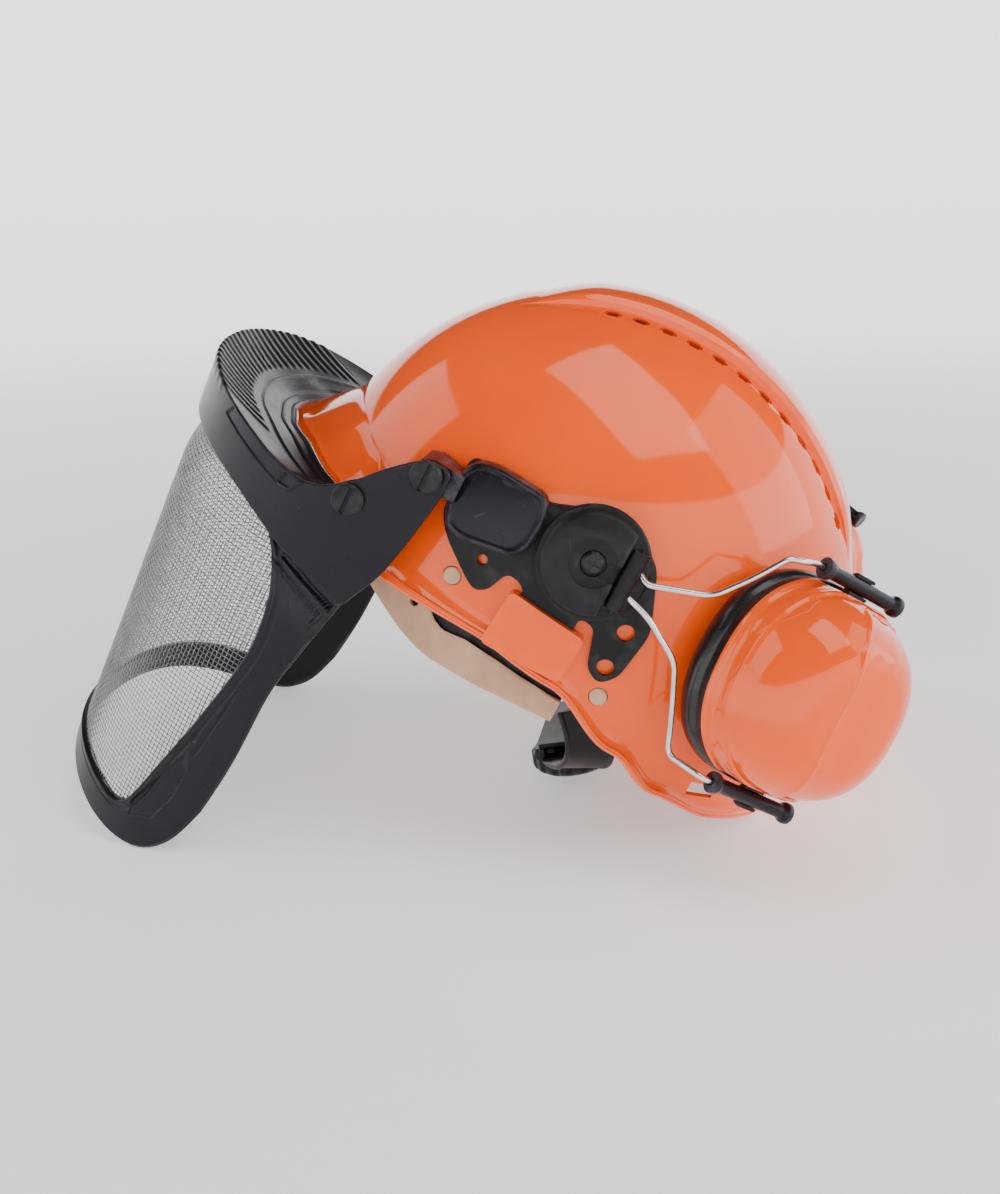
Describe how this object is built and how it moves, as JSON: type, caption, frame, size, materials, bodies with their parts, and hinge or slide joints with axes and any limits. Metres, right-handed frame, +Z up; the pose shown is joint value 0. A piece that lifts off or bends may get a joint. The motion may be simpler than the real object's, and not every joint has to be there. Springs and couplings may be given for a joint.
{
  "type": "forestry safety helmet",
  "caption": "Vented safety helmet with a ratchet harness, a lifting mesh visor under a ribbed brow guard, and two ear muffs that swing from the side slots.",
  "frame": {"origin": "centre of the footprint, on the surface that the helmet lies on", "axes": "+X to the wearer's left, -Y to the front, +Z up; the helmet leans back 27.3 degrees, resting on the visor's lower edge and the shell's rear rim"},
  "size_m": [0.277, 0.3844, 0.236],
  "materials": {
    "orange_abs": "glossy injection moulded",
    "black_polyamide": "fine moulded grain",
    "black_satin": "satin",
    "steel_wire": "bright drawn wire",
    "dark_screw": "blackened screw",
    "steel_mesh": "fine woven screen",
    "tan_leather": "smooth tan leather",
    "black_webbing": "woven webbing",
    "cushion_vinyl": "soft glossy vinyl",
    "grey_foam": "open foam"
  },
  "bodies": {
    "helmet": {"shell": "orange_abs", "headband": "black_polyamide", "sweatband": "tan_leather", "crown_strap_lower": "black_webbing", "crown_strap_upper": "black_webbing", "ratchet_housing": "black_polyamide", "side_plate_left": "black_polyamide", "visor_bracket_left": "black_satin", "visor_pivot_screw_left": "black_satin", "hub_screw_left": "dark_screw", "harness_pin_front_left": "tan_leather", "harness_pin_rear_left": "tan_leather", "strap_anchor_front_left": "black_polyamide", "strap_anchor_rear_left": "black_polyamide", "nape_arm_left": "black_polyamide", "side_plate_right": "black_polyamide", "visor_bracket_right": "black_satin", "visor_pivot_screw_right": "black_satin", "hub_screw_right": "dark_screw", "harness_pin_front_right": "tan_leather", "harness_pin_rear_right": "tan_leather", "strap_anchor_front_right": "black_polyamide", "strap_anchor_rear_right": "black_polyamide", "nape_arm_right": "black_polyamide"},
    "visor": {"brow_guard": "black_satin", "brow_screw_left": "black_satin", "brow_screw_right": "black_satin", "visor_frame": "black_satin", "visor_mesh": "steel_mesh"},
    "knob": {"ratchet_knob": "black_satin"},
    "hub_left": {"muff_hub_left": "black_polyamide", "hinge_pin_left": "dark_screw"},
    "yoke_left": {"wire_holder_left": "black_polyamide", "yoke_wire_upper_left": "steel_wire", "yoke_wire_lower_left": "steel_wire", "guide_rod_upper_left": "black_satin", "guide_rod_lower_left": "black_satin"},
    "slider_left": {"cup_slider_upper_left": "black_polyamide", "cup_slider_lower_left": "black_polyamide"},
    "cup_left": {"cup_shell_left": "orange_abs", "cup_backplate_left": "black_polyamide", "ear_cushion_left": "cushion_vinyl", "cup_foam_left": "grey_foam"},
    "rack_left": {"ratchet_rack_left": "black_polyamide"},
    "hub_right": {"muff_hub_right": "black_polyamide", "hinge_pin_right": "dark_screw"},
    "yoke_right": {"wire_holder_right": "black_polyamide", "yoke_wire_upper_right": "steel_wire", "yoke_wire_lower_right": "steel_wire", "guide_rod_upper_right": "black_satin", "guide_rod_lower_right": "black_satin"},
    "slider_right": {"cup_slider_upper_right": "black_polyamide", "cup_slider_lower_right": "black_polyamide"},
    "cup_right": {"cup_shell_right": "orange_abs", "cup_backplate_right": "black_polyamide", "ear_cushion_right": "cushion_vinyl", "cup_foam_right": "grey_foam"},
    "rack_right": {"ratchet_rack_right": "black_polyamide"}
  },
  "joints": [
    {"name": "visor_lift", "type": "hinge", "parent": "helmet", "child": "visor", "pos_m": [0, 0.00197, 0.16925], "axis": [-1, 0, 0], "range_deg": [-4, 88]},
    {"name": "muff_swing_left", "type": "hinge", "parent": "helmet", "child": "hub_left", "pos_m": [0.1005, 0.06661, 0.13533], "axis": [-0.9781, -0.0954, -0.1848], "range_deg": [0, 100]},
    {"name": "muff_ride_out_left", "type": "hinge", "parent": "hub_left", "child": "yoke_left", "pos_m": [0.1096, 0.08083, 0.13017], "axis": [0.2079, -0.4486, -0.8692], "range_deg": [0, 15.5]},
    {"name": "cup_slide_left", "type": "slide", "parent": "yoke_left", "child": "slider_left", "axis": [-0.4877, 0.7141, -0.5022], "range_m": [-0.003, 0.008]},
    {"name": "cup_tilt_left", "type": "hinge", "parent": "slider_left", "child": "cup_left", "pos_m": [0.0985, 0.15026, 0.08372], "axis": [-0.2542, 0.4342, 0.8642], "range_deg": [-4, 7]},
    {"name": "muff_swing_right", "type": "hinge", "parent": "helmet", "child": "hub_right", "pos_m": [-0.1005, 0.06661, 0.13533], "axis": [-0.9781, 0.0954, 0.1848], "range_deg": [0, 100]},
    {"name": "muff_ride_out_right", "type": "hinge", "parent": "hub_right", "child": "yoke_right", "pos_m": [-0.1096, 0.08083, 0.13017], "axis": [0.2079, 0.4486, 0.8692], "range_deg": [0, 15.5]},
    {"name": "cup_slide_right", "type": "slide", "parent": "yoke_right", "child": "slider_right", "axis": [0.4877, 0.7141, -0.5022], "range_m": [-0.003, 0.008]},
    {"name": "cup_tilt_right", "type": "hinge", "parent": "slider_right", "child": "cup_right", "pos_m": [-0.0985, 0.15026, 0.08372], "axis": [-0.2542, -0.4342, -0.8642], "range_deg": [-4, 7]},
    {"name": "knob_turn", "type": "hinge", "parent": "helmet", "child": "knob", "pos_m": [0, 0.04699, 0.01773], "axis": [0, 0.1685, -0.9857], "range_deg": [-35, 80]},
    {"name": "rack_slide_left", "type": "slide", "parent": "helmet", "child": "rack_left", "axis": [1, 0, 0], "range_m": [-0.0075, 0.0035]},
    {"name": "rack_slide_right", "type": "slide", "parent": "helmet", "child": "rack_right", "axis": [-1, 0, 0], "range_m": [-0.0075, 0.0035]}
  ],
  "couplings": [
    {"joint": "muff_ride_out_left", "follows": "muff_swing_left", "ratio": 0.15},
    {"joint": "muff_ride_out_right", "follows": "muff_swing_right", "ratio": 0.15},
    {"joint": "rack_slide_left", "follows": "knob_turn", "m_per_rad": -0.0048},
    {"joint": "rack_slide_right", "follows": "knob_turn", "m_per_rad": -0.0048}
  ]
}
